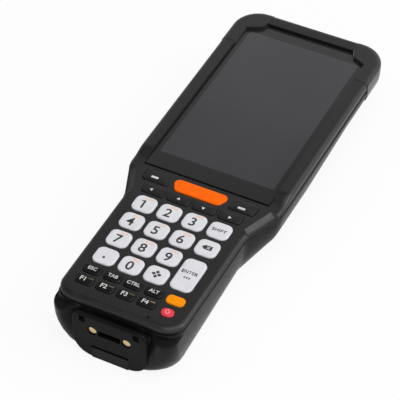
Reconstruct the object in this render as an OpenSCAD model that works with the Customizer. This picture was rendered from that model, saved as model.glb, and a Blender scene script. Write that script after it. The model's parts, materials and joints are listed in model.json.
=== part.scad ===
// Rugged handheld data terminal: a keypad grip, a display head and a dock end.
// Frame: x to the right, y towards the head, z out of the screen, the back on z = 0.

/* [Body] */
// Width across the display head
head_w = 69.6; // [64:0.1:86]
// How much the head narrows on each side towards the neck
head_taper = 0.4; // [0:0.1:1]
// Width across the keypad grip
grip_w = 54.6; // [52:0.1:66]
// How much the grip narrows on each side towards the dock end
grip_taper = 0.4; // [0:0.1:1]
// Height of the keypad face above the back
face_z = 25.5; // [24.5:0.1:32]
// Depth of the display head behind the keypad face
head_t = 18; // [17.6:0.1:19]
// Height of the display rim over the keypad face
rim_rise = 1.5; // [0.8:0.1:2]
// Housing wall
wall = 1.8; // [1.5:0.1:2]
// Corner radius at the head end, seen from above
head_r = 12; // [9:0.5:14]
// Corner radius at the dock end, seen from above
tail_r = 10; // [7:0.5:12]
// Width of the rounding along the upper edge of the front housing
edge_w = 2.6; // [1:0.1:3]
// Height of the same rounding
edge_h = 1.7; // [0.8:0.1:2]

/* [Lengths along the body] */
// From the dock face to the lower lip of the keypad face
dock_l = 4.8; // [4:0.1:6]
// From the lower lip to the display glass
keypad_l = 78.6; // [77:0.1:90]
// Length of the display pocket
pocket_l = 102.1; // [100:0.1:122]
// From the display pocket to the head end
crown_l = 6.8; // [6:0.1:8]
// Length of the sloped neck
neck_l = 18; // [15:0.5:22]

/* [Display] */
// Width of the display glass
glass_w = 56.2; // [55.5:0.1:57]
// Thickness of the display glass
glass_t = 1.2; // [0.8:0.1:1.4]
// Clearance round the glass
glass_gap = 0.3; // [0.2:0.05:0.5]

/* [Keys] */
// Pitch of the number keys across
pitch_x = 11.18; // [10.9:0.01:11.6]
// Pitch of the number keys along the body
pitch_y = 10.78; // [10.4:0.01:11.2]
// Width of a number key
num_w = 9.5; // [7.6:0.1:10.2]
// Length of a number key
num_h = 8.8; // [7.7:0.1:9.4]
// Pitch of the small keys across
small_pitch = 9; // [8.6:0.1:9.2]
// Width of a small key
small_w = 7.4; // [6:0.1:7.6]
// Length of a small key
small_h = 4.6; // [3.8:0.1:4.7]
// Height of the keys over the face
key_rise = 0.7; // [0.3:0.1:1.4]
// Travel of a key
key_travel = 0.7; // [0.3:0.1:0.7]
// Gap between a key and its hole
key_gap = 0.22; // [0.15:0.01:0.25]

/* [Side controls] */
// Length of the side scan trigger
trigger_l = 22; // [14:0.5:26]
// Length of the volume rocker
rocker_l = 24; // [16:0.5:26]
// Height of the side controls
side_h = 4; // [3:0.1:4.2]
// How far the side controls stand out of the wall
side_out = 0.8; // [0.4:0.1:1]

/* [Battery] */
// Width of the battery pack
pack_w = 32; // [28:0.5:33]
// Length of the battery pack
pack_l = 64; // [50:0.5:64]
// Thickness of the battery pack
pack_t = 11.2; // [8:0.1:11.4]
// Travel of the battery latch
latch_travel = 2.8; // [2:0.1:3]

/* [Fasteners] */
// Radius of the screw shank
screw_r = 1.15; // [0.9:0.05:1.3]
// Radius of the screw head
screw_head_r = 2.2; // [1.8:0.1:2.4]
// Length of the screw shank
screw_l = 6.4; // [5:0.1:7]

/* [Hidden] */
$fn = 48;
cut = 1;
seat = 0.3;
body_l = dock_l + keypad_l + pocket_l + crown_l;
origin_shift = 0.25;
y_tail = origin_shift - body_l / 2;
y_head = origin_shift + body_l / 2;
y_lip = y_tail + dock_l;
y_pocket = y_lip + keypad_l;
y_crown = y_pocket + pocket_l;
y_glass = y_pocket - 0.8;
y_neck = y_pocket - 2.1;
y_grip = y_neck - neck_l;
y_ramp = y_pocket + 2;
ramp_l = 7;
half_grip = grip_w / 2;
half_head = head_w / 2;

// Depths below the keypad face where the two housings meet
split_front = 2.6;
split_rear = 2.9;
split_edge = 3.7;

// The back is flat under the grip, then rises to the thinner head
y_back = y_pocket + 28.5;
y_slim = y_pocket + 64.5;

// Section of the rear housing: depth of its straight side, and how far it curls in
side_grip = 7;
side_neck = 5.8;
side_head = 4.6;
curl_tail = 3.5;
curl_grip = 10.5;
curl_neck = 23;
curl_head = 16;
neck_lean = 0.1;
dock_r = 6;
dock_r_low = 22;

// How far the back tucks in at the dock end and at the head end
tail_tuck = 4;
head_tuck = 7;

// The recess between the lower lip and the dock guard
recess_l = 3.9;
y_wall = y_tail + 0.7;

// Under the lip the middle of the end wall is dented, less and less with the depth
function dent_at(depth) = recess_l * lookup(depth, [[4, 1], [7, 0.85], [10.8, 0.4], [14.5, 0.1], [17, 0]]);

// Heights inside
plate_z = face_z - 2;
head_plate_z = face_z - 3.1;
glass_top = face_z;
ledge_z = glass_top - glass_t - seat;
lip_z = face_z - 4.5;
seal_z = face_z - 5;
keys_floor = face_z - 10;
board_z = face_z - 7.9;
head_floor = face_z - head_t + 2.7;
lip_in = wall + seat;
lip_t = 1.2;
shelf_in = lip_in + 1.8;

key_board_t = 1.2;
key_board_z = face_z - 6.4;
mat_z = key_board_z + key_board_t;
mat_t = 1.2;
key_flange = 0.35;
key_flange_t = 0.8;
key_flange_z = plate_z - 0.1 - key_flange_t;
key_stem_z = mat_z + key_travel + 0.2;
stem_in = 1.6;
pad_t = 0.1;

// Rows of the keypad, measured from the display pocket towards the dock end
y_row1 = y_pocket - 22.1;
y_scan = y_pocket - 6.25;
y_soft = y_pocket - 5.8;
y_arrow = y_pocket - 13.1;
y_small1 = y_pocket - 62.9;
y_small2 = y_pocket - 69;

function rect(w, h) = [[-w, -h] / 2, [w, -h] / 2, [w, h] / 2, [-w, h] / 2];
scan_shape = [[-9.9, -3.35], [9.9, -3.35], [13.3, 3.35], [-13.3, 3.35]];
soft_shape = [[-5.6, -3.1], [6.6, -3.1], [4.2, 3.1], [-5.9, 3.1]];
soft_mirror = [for (i = [3:-1:0]) [-soft_shape[i].x, soft_shape[i].y]];
enter_h = num_h + pitch_y - 2.2;

// Every key: name, centre, outline about its centre, corner radius, colour
function num_key(name, col, row, tint = "white") =
    [name, [(col - 1.5) * pitch_x, y_row1 - row * pitch_y], rect(num_w, num_h), 2.7, tint];
function small_key(name, col, y) =
    [name, [-18 + col * small_pitch, y], rect(small_w, small_h), 1.4, "dimgray"];
function arrow_key(name, col) =
    [name, [(col - 1.5) * (pitch_x + 0.3), y_arrow], rect(10.2, 5.2), 1.4, "dimgray"];
KEYS = concat(
    [for (i = [0:8]) num_key(str("key_", i + 1), i % 3, floor(i / 3))],
    [
        num_key("key_point", 0, 3),
        num_key("key_0", 1, 3),
        num_key("key_mode", 2, 3),
        num_key("key_shift", 3, 0),
        num_key("key_delete", 3, 1),
        ["key_enter", [1.5 * pitch_x, y_row1 - 2.5 * pitch_y], rect(num_w, enter_h), 2.7, "white"],
        ["scan_key", [0, y_scan], scan_shape, 2.3, "darkorange"],
        ["soft_key_left", [-19.6, y_soft], soft_shape, 1.2, "dimgray"],
        ["soft_key_right", [19.6, y_soft], soft_mirror, 1.2, "dimgray"],
        arrow_key("arrow_key_left", 0),
        arrow_key("arrow_key_up", 1),
        arrow_key("arrow_key_down", 2),
        arrow_key("arrow_key_right", 3),
        small_key("key_esc", 0, y_small1),
        small_key("key_tab", 1, y_small1),
        small_key("key_ctrl", 2, y_small1),
        small_key("key_alt", 3, y_small1)
    ],
    [for (i = [0:3]) small_key(str("key_f", i + 1), i, y_small2)],
    [
        ["fn_key", [18.4, y_small1 - 0.2], rect(7.7, 4.7), 1.9, "orange"],
        ["power_key", [18.4, y_small2 - 0.9], rect(5.3, 4.2), 2, "crimson"]
    ]
);

// ---- Outlines and lofts ----

function unit(v) = v / norm(v);

// Points of the arc of radius r that rounds the corner b of the path a, b, c
function round_corner(a, b, c, r, n) =
    let (
        u = unit(a - b),
        v = unit(c - b),
        half = acos(u * v) / 2,
        centre = b + unit(u + v) * r / sin(half),
        first = b + u * r / tan(half) - centre,
        last = b + v * r / tan(half) - centre,
        start = atan2(first.y, first.x),
        sweep = atan2(last.y, last.x) - start,
        turn = sweep > 180 ? sweep - 360 : sweep < -180 ? sweep + 360 : sweep
    )
    [for (i = [0:n]) centre + r * [cos(start + turn * i / n), sin(start + turn * i / n)]];

// A closed outline with every corner rounded
function rounded(p, r, n = 5) =
    let (m = len(p))
    [for (i = [0:m - 1]) each round_corner(p[(i + m - 1) % m], p[i], p[(i + 1) % m], r, n)];

// Largest radius at which the arc in the corner b ends before the rim's ramp begins
function neck_r_max(a, b, c) =
    let (turn = atan2(c.x - b.x, c.y - b.y) - atan2(b.x - a.x, b.y - a.y))
    0.8 * (y_ramp - y_neck) / max(abs(tan(turn / 2)), 0.01);

// Right half of the body outline, from the dock end to the head end.
// x is [tail, grip, neck, head] half-widths, y is [tail, head] ends, lean moves the neck.
// A dent pushes the middle of the dock end in, by a share of it at each share of the half-width.
// The dented end is also bowed out a little, so that its points never lie on one line.
end_crown = 0.3;
DENT = [[0.72, 1], [0.78, 0.93], [0.84, 0.72], [0.9, 0.4], [0.96, 0.12]];
function half_outline(x, y, lean, radii, breaks, dent) =
    let (
        tail = [x[0] - grip_taper, y[0]],
        grip = [x[1], y_grip - lean],
        neck = [x[2] - head_taper, y_neck - lean],
        head = [x[3], y[1]],
        corner = round_corner([0, y[0]], tail, grip, radii[0], 8)
    )
    concat(
        [for (d = is_undef(dent) ? [] : DENT)
            [d[0] * corner[0].x, y[0] + d[1] * dent - end_crown * (1 - d[0] * d[0])]],
        corner,
        round_corner(tail, grip, neck, 12, 4),
        round_corner(grip, neck, head, min(14, neck_r_max(grip, neck, head)), 4),
        [for (b = breaks) [neck.x + (head.x - neck.x) * (b - neck.y) / (head.y - neck.y), b]],
        round_corner(neck, head, [0, y[1]], radii[1], 8)
    );

// The whole ring: the right half, then its mirror image back to the start
function full(h) = concat(h, [for (i = [len(h) - 1:-1:0]) [-h[i].x, h[i].y]]);
function lift(ring, height) = [for (p = ring) [p.x, p.y, height(p.y)]];

// Closed solid through equal rings, from the lowest to the highest. A cap is cut into strips
// between the ring's first and last points, so that a bent or waisted cap is made of flat strips.
module loft(rings) {
    n = len(rings[0]);
    top = (len(rings) - 1) * n;
    strips = [for (i = [0:n / 2 - 2]) [i, i + 1, n - 2 - i, n - 1 - i]];
    polyhedron(
        [for (r = rings) each r],
        concat(
            [for (k = [0:len(rings) - 2]) for (i = [0:n - 1]) each [
                [k * n + i, (k + 1) * n + i, (k + 1) * n + (i + 1) % n],
                [k * n + i, (k + 1) * n + (i + 1) % n, k * n + (i + 1) % n]
            ]],
            strips,
            [for (s = strips) [for (i = [3:-1:0]) top + s[i]]]
        ),
        convexity = 8
    );
}

// Plan outline of the keypad face, moved in by an inset
function face_outline(inset, breaks = []) =
    half_outline(
        [half_grip, half_grip, half_head, half_head] - [1, 1, 1, 1] * inset,
        [y_lip + inset, y_head - inset],
        0,
        [max(tail_r - 2 - inset, 1), max(head_r - inset, 1)],
        breaks
    );
module plan(inset, low, high) {
    translate([0, 0, low]) linear_extrude(high - low) polygon(full(face_outline(inset)));
}

// The rim round the display rises from the keypad face in an S-curve
RAMP = [for (i = [0:4]) y_ramp + ramp_l * i / 4];
function rim(y) = rim_rise * (1 - cos(180 * max(0, min(1, (y - y_ramp) / ramp_l)))) / 2;
function edge_drop(y) = edge_h + 0.3 * rim(y);

// Outer form of the front housing
module front_form() {
    function ring(inset, height) = lift(full(face_outline(inset, RAMP)), height);
    loft(
        concat(
            [
                ring(0.5, function (y) face_z - split_front),
                ring(0, function (y) face_z - split_front + 0.3)
            ],
            [for (a = [0:15:90])
                ring(edge_w * (1 - cos(a)), function (y) face_z + rim(y) - edge_drop(y) * (1 - sin(a)))]
        )
    );
}

// Outer form of the rear housing: straight sides that curl under to a flat back
function back(y) =
    lookup(y, [[y_tail, face_z], [y_back, face_z], [y_slim, head_t], [y_head, head_t]]);
function side(y) =
    lookup(y, [[y_tail, side_grip], [y_grip, side_grip], [y_neck, side_neck], [y_slim, side_head]]);
module rear_form() {
    function outline(inset, curl, dip, tail_in, dent, head_in = 0) =
        full(half_outline(
            [half_grip, half_grip, half_head, half_head] - [1, 1, 1, 1] * inset
                - [curl_tail, curl_grip, curl_neck, curl_head] * curl,
            [y_wall + tail_in, y_head - inset - head_in],
            neck_lean * dip,
            [dock_r + (dock_r_low - dock_r) * curl, head_r * (1 - 0.2 * curl)],
            [y_back, y_slim],
            dent
        ));
    // The band between the split and the curl, as a share of its height
    function band(share) = function (y) face_z - split_edge - share * (side(y) - split_edge);
    loft(
        concat(
            [for (a = [90, 80, 70, 60, 48, 36, 24, 12])
                let (
                    c = 1 - cos(a),
                    dip = side_grip + sin(a) * (face_z - side_grip) - 2,
                    s = max(0, a - 40) / 50
                )
                lift(
                    outline(0, c, dip, tail_tuck * (1 - sqrt(1 - s * s)), dent_at(dip + 2), head_tuck * c),
                    function (y) face_z - side(y) - sin(a) * (back(y) - side(y))
                )],
            [
                lift(outline(0, 0, side_grip - 2, 0, dent_at(side_grip)), band(1)),
                lift(outline(0, 0, 2.8, 0, dent_at(5.4)), band(0.6)),
                lift(outline(0, 0, 2.4, 0.4, dent_at(4) - 0.4), band(0.42)),
                lift(outline(0, 0, 2, recess_l, 0), band(0.3)),
                lift(outline(0, 0, 0.4, recess_l, 0), band(0)),
                lift(outline(0.8, 0, 0, recess_l, 0), function (y) face_z - split_rear)
            ]
        )
    );
}

module block(x, y, z) {
    translate([x[0], y[0], z[0]]) cube([x[1] - x[0], y[1] - y[0], z[1] - z[0]]);
}
module disc(x, y, z, r) {
    translate([x, y, z[0]]) cylinder(h = z[1] - z[0], r = r);
}
module mirrored() {
    children();
    mirror([1, 0, 0]) children();
}

// ---- Shared places ----

cap_half = 20.5;
pocket_half = glass_w / 2 + glass_gap;
glass_foot = 1;
bumper_leg = 17.4;
bumper_proud = 0.3;
bumper_top = 0.12;
bumper_wall = 1.6;
skirt_z = face_z - 8.5;
cap_t = 2;
cap_low = face_z - 13;
split_z = face_z - split_front;
corner_step = [[0, 0], [1.3, -3], [2.6, -4]];
corner_end = 6.6;

window_half = pocket_half - 1.4;
window_low = y_pocket + 2;
window_high = y_crown - corner_end;

// Screws: centre, height of the boss's lower end, radius of the boss
SCREWS = concat(
    [for (y = [y_pocket + 9, y_pocket + 51, y_pocket + 88]) [half_head - 5.6, y, board_z + 0.1, 2.2]],
    [[15.2, y_tail + 9.6, keys_floor + 0.1, 1.8]]
);
screw_under = 3.1;
screw_head_t = 1.6;
bore_gap = 0.15;
thread_gap = 0.05;

// Side controls, on the left wall
side_z = face_z - 7.6;
side_pocket = half_head - 3.2;
side_gap = 0.25;
trigger_y = y_pocket + 23.5;
rocker_y = y_pocket + 70;
board_half = half_head - 5.4;

// Battery
pack_z = 2.2;
pack_high = y_pocket - 3.6;
pack_low = pack_high - pack_l;
pack_gap = 0.4;
bay_top = pack_z + pack_t + 0.5;
cover_half = pack_w / 2 + 3.5;
cover_low = pack_low - 2.5;
cover_high = y_pocket + 0.5;
cover_t = 1.8;
cover_rim = 5;
cover_gap = 0.2;
tab_half = 8;
tab_gap = 0.15;
tab_z = 6;
hook_y = y_tail + 4;
catch_half = 5.5;
catch_top = 6.4;

// Latch
latch_low = cover_high + 5;
latch_skin = 2.3;
latch_top = latch_skin + 2.1;
latch_room = 5;
latch_l = 9.8;
latch_plate = latch_low + latch_l + 1.2;
latch_end = latch_plate + latch_travel + 1.7;

// Dock end
bezel_half = 16.3;
bezel_t = 2.2;
bezel_low = 0.5;
bezel_high = face_z - 2.2;
bezel_back = y_tail + bezel_t;
guard_t = 1.1;
core_half = 16;
core_top = face_z - 5.5;
slot_half = 1.5;
contact_x = 7.4;
contact_z = face_z - 10;
contact_r = 1.95;
port_x = [-4.9, 4.9];
port_z = [contact_z - slot_half, contact_z + slot_half];
peg_x = 11.7;
peg_z = face_z - 4.9;
slit_high = tab_z + 1.3;

// Head end and back
engine_half = 11;
engine_low = y_crown - 13.1;
engine_high = y_crown + 1.6;
scan_half = 12;
scan_low = face_z - 11.7;
scan_high = face_z - 4;
camera = [-11, y_slim + 10];
flash = [-11, y_slim + 2.8];
speaker = [9, y_slim + 10];
back_z = face_z - head_t;

module screw_pattern() {
    for (s = SCREWS) mirrored() translate([s[0], s[1], s[2]]) children();
}

// ---- Housings ----

module pocket_outline() {
    half = concat(
        [[pocket_half, y_glass], [pocket_half, y_crown - corner_end]],
        [for (i = [2:-1:0]) [cap_half, y_crown] + corner_step[i]]
    );
    polygon(full(half));
}

// Plan of the right-hand corner bumper
module bumper_zone() {
    polygon(concat(
        [[cap_half, y_head + 5]],
        [for (p = corner_step) [cap_half, y_crown] + p],
        [
            [pocket_half, y_crown - corner_end],
            [pocket_half, y_crown - bumper_leg],
            [half_head + 5, y_crown - bumper_leg],
            [half_head + 5, y_head + 5]
        ]
    ));
}

module key_prism(k, grow, low, high) {
    sx = max([for (p = k[2]) p.x]);
    sy = max([for (p = k[2]) p.y]);
    shape = [for (p = k[2]) [p.x * (1 + grow / sx), p.y * (1 + grow / sy)]];
    translate([k[1].x, k[1].y, low])
        linear_extrude(high - low) polygon(rounded(shape, max(k[3] + grow, 0.3)));
}

// Bevel along the neck's upper edge. It fades out at both ends.
bevel_in = 3.4;
bevel_drop = 2.9;
module neck_bevel() {
    run = [half_head - head_taper - half_grip, neck_l];
    middle = [(half_head - head_taper + half_grip) / 2, (y_neck + y_grip) / 2];
    reach = norm(run) / 2 + 1;
    function section(w, drop, z) = [[1, -drop, z], [1, 0.5, z], [-w, 0.5, z], [-w, 0.05, z]];
    translate([middle.x, middle.y, face_z]) rotate([90, 0, -atan2(run.x, run.y)])
        loft([
            section(-0.9, 0, -reach),
            section(bevel_in, bevel_drop, 3.5 - reach),
            section(bevel_in, bevel_drop, reach - 3.5),
            section(-0.9, 0, reach)
        ]);
}

module front_housing() {
    color([0.21, 0.21, 0.21]) difference() {
        union() {
            difference() {
                union() {
                    front_form();
                    plan(lip_in, lip_z, split_z + 0.4);
                }
                plan(lip_in + lip_t, lip_z - cut, head_plate_z);
                intersection() {
                    plan(lip_in + lip_t, lip_z, plate_z);
                    block([-half_head, half_head], [y_tail, y_glass - 1.2], [lip_z, face_z]);
                }
            }
            for (s = SCREWS) mirrored() disc(s[0], s[1], [s[2], plate_z], s[3]);
        }
        for (k = KEYS) key_prism(k, key_gap, plate_z - cut, face_z + cut);
        translate([0, 0, ledge_z]) linear_extrude(face_z) pocket_outline();
        block([-window_half, window_half], [window_low, window_high], [head_plate_z - cut, face_z]);
        screw_pattern() translate([0, 0, -cut]) cylinder(h = cut + 5.2, r = screw_r + thread_gap);
        disc(12.7, y_lip + 3.4, [plate_z - cut, face_z + cut], 0.5);
        mirrored() neck_bevel();
        mirrored() translate([0, 0, split_z]) linear_extrude(face_z) bumper_zone();
        block([-cap_half, cap_half], [y_crown, y_head + cut], [split_z, 2 * face_z]);
    }
}

module side_slot(y, l) {
    block(
        [-half_head - cut, -side_pocket + cut],
        [y - l / 2 - side_gap, y + l / 2 + side_gap],
        [side_z - side_h / 2 - side_gap, side_z + side_h / 2 + side_gap]
    );
    block(
        [-side_pocket, -board_half + 0.6],
        [y - l / 2 - 1.4, y + l / 2 + 1.4],
        [side_z - side_h / 2 - 0.6, seal_z + cut]
    );
}

module rear_housing() {
    color([0.16, 0.16, 0.16]) difference() {
        union() {
            rear_form();
            block([-core_half, core_half], [bezel_back, y_lip + wall], [keys_floor - 5, core_top]);
        }
        plan(wall, seal_z, face_z);
        intersection() {
            plan(shelf_in, keys_floor, seal_z + cut);
            block([-half_head, half_head], [y_tail, y_pocket], [keys_floor, face_z]);
        }
        intersection() {
            plan(shelf_in, board_z, seal_z + cut);
            block([-half_head, half_head], [y_pocket - cut, y_head], [board_z, face_z]);
        }
        block([-24.5, 24.5], [y_pocket + 6.5, engine_low], [head_floor, board_z + cut]);
        block(
            [-engine_half - 2, engine_half + 2],
            [engine_low - cut, y_head - cap_t - wall],
            [head_floor, face_z]
        );
        battery_room();
        latch_room();
        dock_room();
        screw_pattern() {
            translate([0, 0, -screw_under - cut])
                cylinder(h = screw_under + 2 * cut, r = screw_r + bore_gap);
            translate([0, 0, -screw_under - face_z]) cylinder(h = face_z, r = screw_head_r + 0.4);
        }
        for (s = SCREWS) mirrored() disc(s[0], s[1], [s[2] - 0.1, seal_z + cut], s[3] + 0.25);
        side_slot(trigger_y, trigger_l);
        side_slot(rocker_y, rocker_l);
        mirrored() difference() {
            translate([0, 0, skirt_z]) linear_extrude(face_z) bumper_zone();
            plan(bumper_wall, 0, 2 * face_z);
        }
        block([-cap_half, cap_half], [y_head - cap_t, y_head + cut], [cap_low, face_z]);
        block(
            [-engine_half + 0.5, engine_half - 0.5],
            [engine_low, y_head],
            [scan_low + 1, scan_high - 0.8]
        );
        disc(camera.x, camera.y, [-cut, back_z + 1.1], 5.1);
        disc(camera.x, camera.y, [-cut, head_floor + cut], 4.3);
        disc(flash.x, flash.y, [-cut, head_floor + cut], 1.7);
        for (i = [-2:2]) for (j = [-1:1])
            disc(speaker.x + 2 * i, speaker.y + 2.4 * j, [0, head_floor + cut], 0.6);
    }
    color([0.16, 0.16, 0.16]) for (y = [pack_low + 4, pack_low + 34, pack_high - 2])
        mirrored() disc(20, y, [keys_floor - 0.01, key_board_z], 1.6);
}

module battery_room() {
    block(
        [-pack_w / 2 - pack_gap, pack_w / 2 + pack_gap],
        [pack_low - pack_gap, pack_high + pack_gap],
        [-cut, bay_top]
    );
    block(
        [-cover_half - cover_gap, cover_half + cover_gap],
        [cover_low - cover_gap, cover_high + cover_gap],
        [-cut, cover_rim + cover_gap]
    );
    tab_room = tab_half + tab_gap;
    block([-tab_room, tab_room], [y_tail - cut, cover_low + cut + 0.3], [-cut, tab_z + 0.3]);
    block([-tab_room, tab_room], [y_tail - cut, bezel_back], [0, slit_high]);
    block([-tab_half, tab_half], [hook_y - 0.3, hook_y + 1.8], [0, tab_z + 1.9]);
    block(
        [-catch_half - 1.3, catch_half + 1.3],
        [cover_high - 3.6, cover_high + cover_gap],
        [0, catch_top + cover_gap]
    );
    block([-6.5, 6.5], [pack_high - 6.4, pack_high - 1.4], [bay_top - cut, keys_floor + cut]);
}

module latch_room() {
    block([-10.3, 10.3], [cover_high, latch_end], [latch_skin, latch_room]);
    block(
        [-8.3, 8.3],
        [latch_low - 0.3, latch_low + latch_l + latch_travel + 0.4],
        [-cut, latch_skin + 0.1]
    );
}

module dock_room() {
    translate([0, bezel_back, 0]) rotate([90, 0, 0]) linear_extrude(bezel_t + cut)
        polygon(bezel_outline(-0.1));
    block(port_x, [y_tail - cut, y_lip + 4], port_z);
    for (s = [-1, 1]) translate([s * contact_x, y_tail, contact_z]) rotate([-90, 0, 0])
        cylinder(h = dock_l + 4, r = 1.1);
}

module corner_bumper_left() {
    mirror([1, 0, 0]) corner_bumper_right();
}

// The body's outer form round the head corners in one piece, from the curl up to the rim
module bumper_form() {
    function lower(inset, dip, depth) = lift(
        full(half_outline(
            [half_grip, half_grip, half_head, half_head] - [1, 1, 1, 1] * (inset - bumper_proud),
            [y_tail, y_head - inset * 0.6 + bumper_proud],
            neck_lean * dip, [tail_r, head_r + bumper_proud], RAMP
        )),
        function (y) face_z - depth
    );
    function upper(inset, height) =
        lift(full(face_outline(inset - bumper_proud, RAMP)), height);
    deep = head_t - side_head;
    loft(
        concat(
            [for (a = [24, 12, 0])
                lower(curl_head * (1 - cos(a)), sign(a), side_head + deep * sin(a))],
            [upper(0, function (y) face_z - split_front)],
            [for (a = [0:15:90]) upper(
                (edge_w + bumper_proud) * (1 - cos(a)),
                function (y) face_z + rim(y) + bumper_top - (edge_drop(y) + bumper_top) * (1 - sin(a))
            )]
        )
    );
}

module corner_bumper_right() {
    color([0.3, 0.3, 0.3]) difference() {
        intersection() {
            bumper_form();
            translate([0, 0, skirt_z]) linear_extrude(face_z) bumper_zone();
        }
        plan(bumper_wall, 0, split_z);
    }
}

module head_cap() {
    color([0.09, 0.09, 0.09]) difference() {
        union() {
            intersection() {
                front_form();
                block([-cap_half, cap_half], [y_crown, y_head], [split_z, 2 * face_z]);
            }
            intersection() {
                rear_form();
                block([-cap_half, cap_half], [y_head - cap_t, y_head], [cap_low, face_z]);
            }
            block(
                [-cap_half, cap_half],
                [y_head - cap_t, y_head - 0.6],
                [face_z - split_edge, split_z + 0.3]
            );
        }
        block([-scan_half, scan_half], [y_head - cap_t - cut, y_head + cut], [scan_low, scan_high]);
    }
}

module scan_window() {
    color([0.25, 0.02, 0.04]) block(
        [-scan_half + 0.1, scan_half - 0.1],
        [y_head - cap_t, y_head - 0.95],
        [scan_low + 0.1, scan_high - 0.1]
    );
}

module scan_engine() {
    color([0.35, 0.35, 0.37]) difference() {
        block([-engine_half, engine_half], [engine_low, engine_high], [head_floor, seal_z - 0.3]);
        translate([-4.5, engine_high + cut, face_z - 8]) rotate([90, 0, 0]) cylinder(h = 4, r = 3);
        translate([4.5, engine_high + cut, face_z - 8]) rotate([90, 0, 0]) cylinder(h = 2.5, r = 2);
    }
}

// ---- Display ----

module display_glass() {
    color([0.12, 0.12, 0.13]) translate([0, 0, glass_top - glass_t]) linear_extrude(glass_t)
        difference() {
            offset(delta = -glass_gap) pocket_outline();
            translate([-half_head, y_glass]) square([head_w, glass_foot]);
        }
}

module display_gasket() {
    color("black") translate([0, 0, ledge_z]) linear_extrude(seat) difference() {
        offset(delta = -glass_gap - 0.2) pocket_outline();
        translate([-window_half, window_low]) square([2 * window_half, window_high - window_low]);
    }
}

module display_module() {
    color([0.28, 0.28, 0.31]) block(
        [-window_half + 0.3, window_half - 0.3],
        [window_low + 0.6, window_high - 0.3],
        [face_z - 3.4, glass_top - glass_t]
    );
}

module inner_frame() {
    color("silver") difference() {
        intersection() {
            plan(shelf_in - 0.4, seal_z, seal_z + 1);
            block([-half_head, half_head], [y_pocket + 1, y_head], [seal_z, face_z]);
        }
        for (s = SCREWS) mirrored() disc(s[0], s[1], [seal_z - cut, face_z], s[3] + 0.3);
        block([-engine_half - 2, engine_half + 2], [engine_low - 3, y_head], [0, face_z]);
        for (y = [y_pocket + 14, y_pocket + 44]) mirrored()
            block([4, 22], [y, y + 22], [0, face_z]);
    }
}

// ---- Keypad and boards ----

module keypad_mat() {
    color([0.1, 0.1, 0.1]) difference() {
        intersection() {
            plan(shelf_in + 0.3, mat_z, mat_z + mat_t);
            block([-half_grip, half_grip], [y_lip + 6.7, y_glass - 1.4], [mat_z, face_z]);
        }
        for (k = KEYS) key_prism(k, 0.3 - stem_in, mat_z - cut, face_z);
    }
}

module key_board() {
    color([0.05, 0.3, 0.15]) intersection() {
        plan(shelf_in + 0.3, key_board_z, mat_z);
        block([-half_grip, half_grip], [y_lip + 6.7, y_glass - 1], [key_board_z, face_z]);
    }
    color("gold") for (k = KEYS) {
        reach = min(max([for (p = k[2]) p.y]) - stem_in, 2);
        disc(k[1].x, k[1].y, [mat_z - 0.01, mat_z + pad_t], reach);
    }
}

module main_board() {
    color([0.05, 0.3, 0.15]) {
        difference() {
            intersection() {
                plan(half_head - board_half, board_z, board_z + 1.2);
                block([-half_head, half_head], [y_pocket + 3.5, engine_low - 2], [board_z, face_z]);
            }
            for (s = SCREWS) mirrored() disc(s[0], s[1], [0, face_z], s[3] + 0.4);
        }
        for (y = [trigger_y, rocker_y - 8, rocker_y + 8])
            block([-board_half, 3 - board_half], [y - 2.5, y + 2.5], [board_z + 1.1, board_z + 2.6]);
    }
    color("lightgray") {
        block([-20, 4], [y_pocket + 16, y_pocket + 42], [board_z - 2.4, board_z + 0.01]);
        block([-20, 20], [y_pocket + 46, y_pocket + 64], [board_z - 2.4, board_z + 0.01]);
    }
}

module housing_seal() {
    color([0.06, 0.06, 0.06]) difference() {
        plan(lip_in + 0.1, seal_z, lip_z);
        plan(lip_in + 0.7, seal_z - cut, lip_z + cut);
    }
}

// A key: crowned cap, a flange under the face and a stem over its pad
module key(k) {
    sx = max([for (p = k[2]) p.x]);
    sy = max([for (p = k[2]) p.y]);
    top = face_z + key_rise;
    function cap_ring(inset, z) =
        let (shape = [for (p = k[2]) [p.x * (1 - inset / sx), p.y * (1 - inset / sy)]])
        [for (p = rounded(shape, max(k[3] - inset, 0.4))) [p.x + k[1].x, p.y + k[1].y, z]];
    color(k[4]) {
        loft([
            cap_ring(0, key_flange_z + key_flange_t - 0.1),
            cap_ring(0, top - 0.5),
            cap_ring(0.25, top - 0.22),
            cap_ring(0.7, top - 0.07),
            cap_ring(1.5, top)
        ]);
        key_prism(k, key_flange, key_flange_z, key_flange_z + key_flange_t);
        key_prism(k, -stem_in, key_stem_z, key_flange_z + 0.01);
    }
}

// ---- Battery, cover and latch ----

module battery_pack() {
    color([0.2, 0.2, 0.22])
        block([-pack_w / 2, pack_w / 2], [pack_low, pack_high], [pack_z, pack_z + pack_t]);
}

module battery_contacts() {
    color("gold") {
        block([-6, 6], [pack_high - 6, pack_high - 1.8], [bay_top + 0.6, key_board_z]);
        for (x = [-4.5, -1.5, 1.5, 4.5])
            block([x - 0.5, x + 0.5], [pack_high - 5, pack_high - 3], [pack_z + pack_t, bay_top + 0.7]);
    }
}

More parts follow.
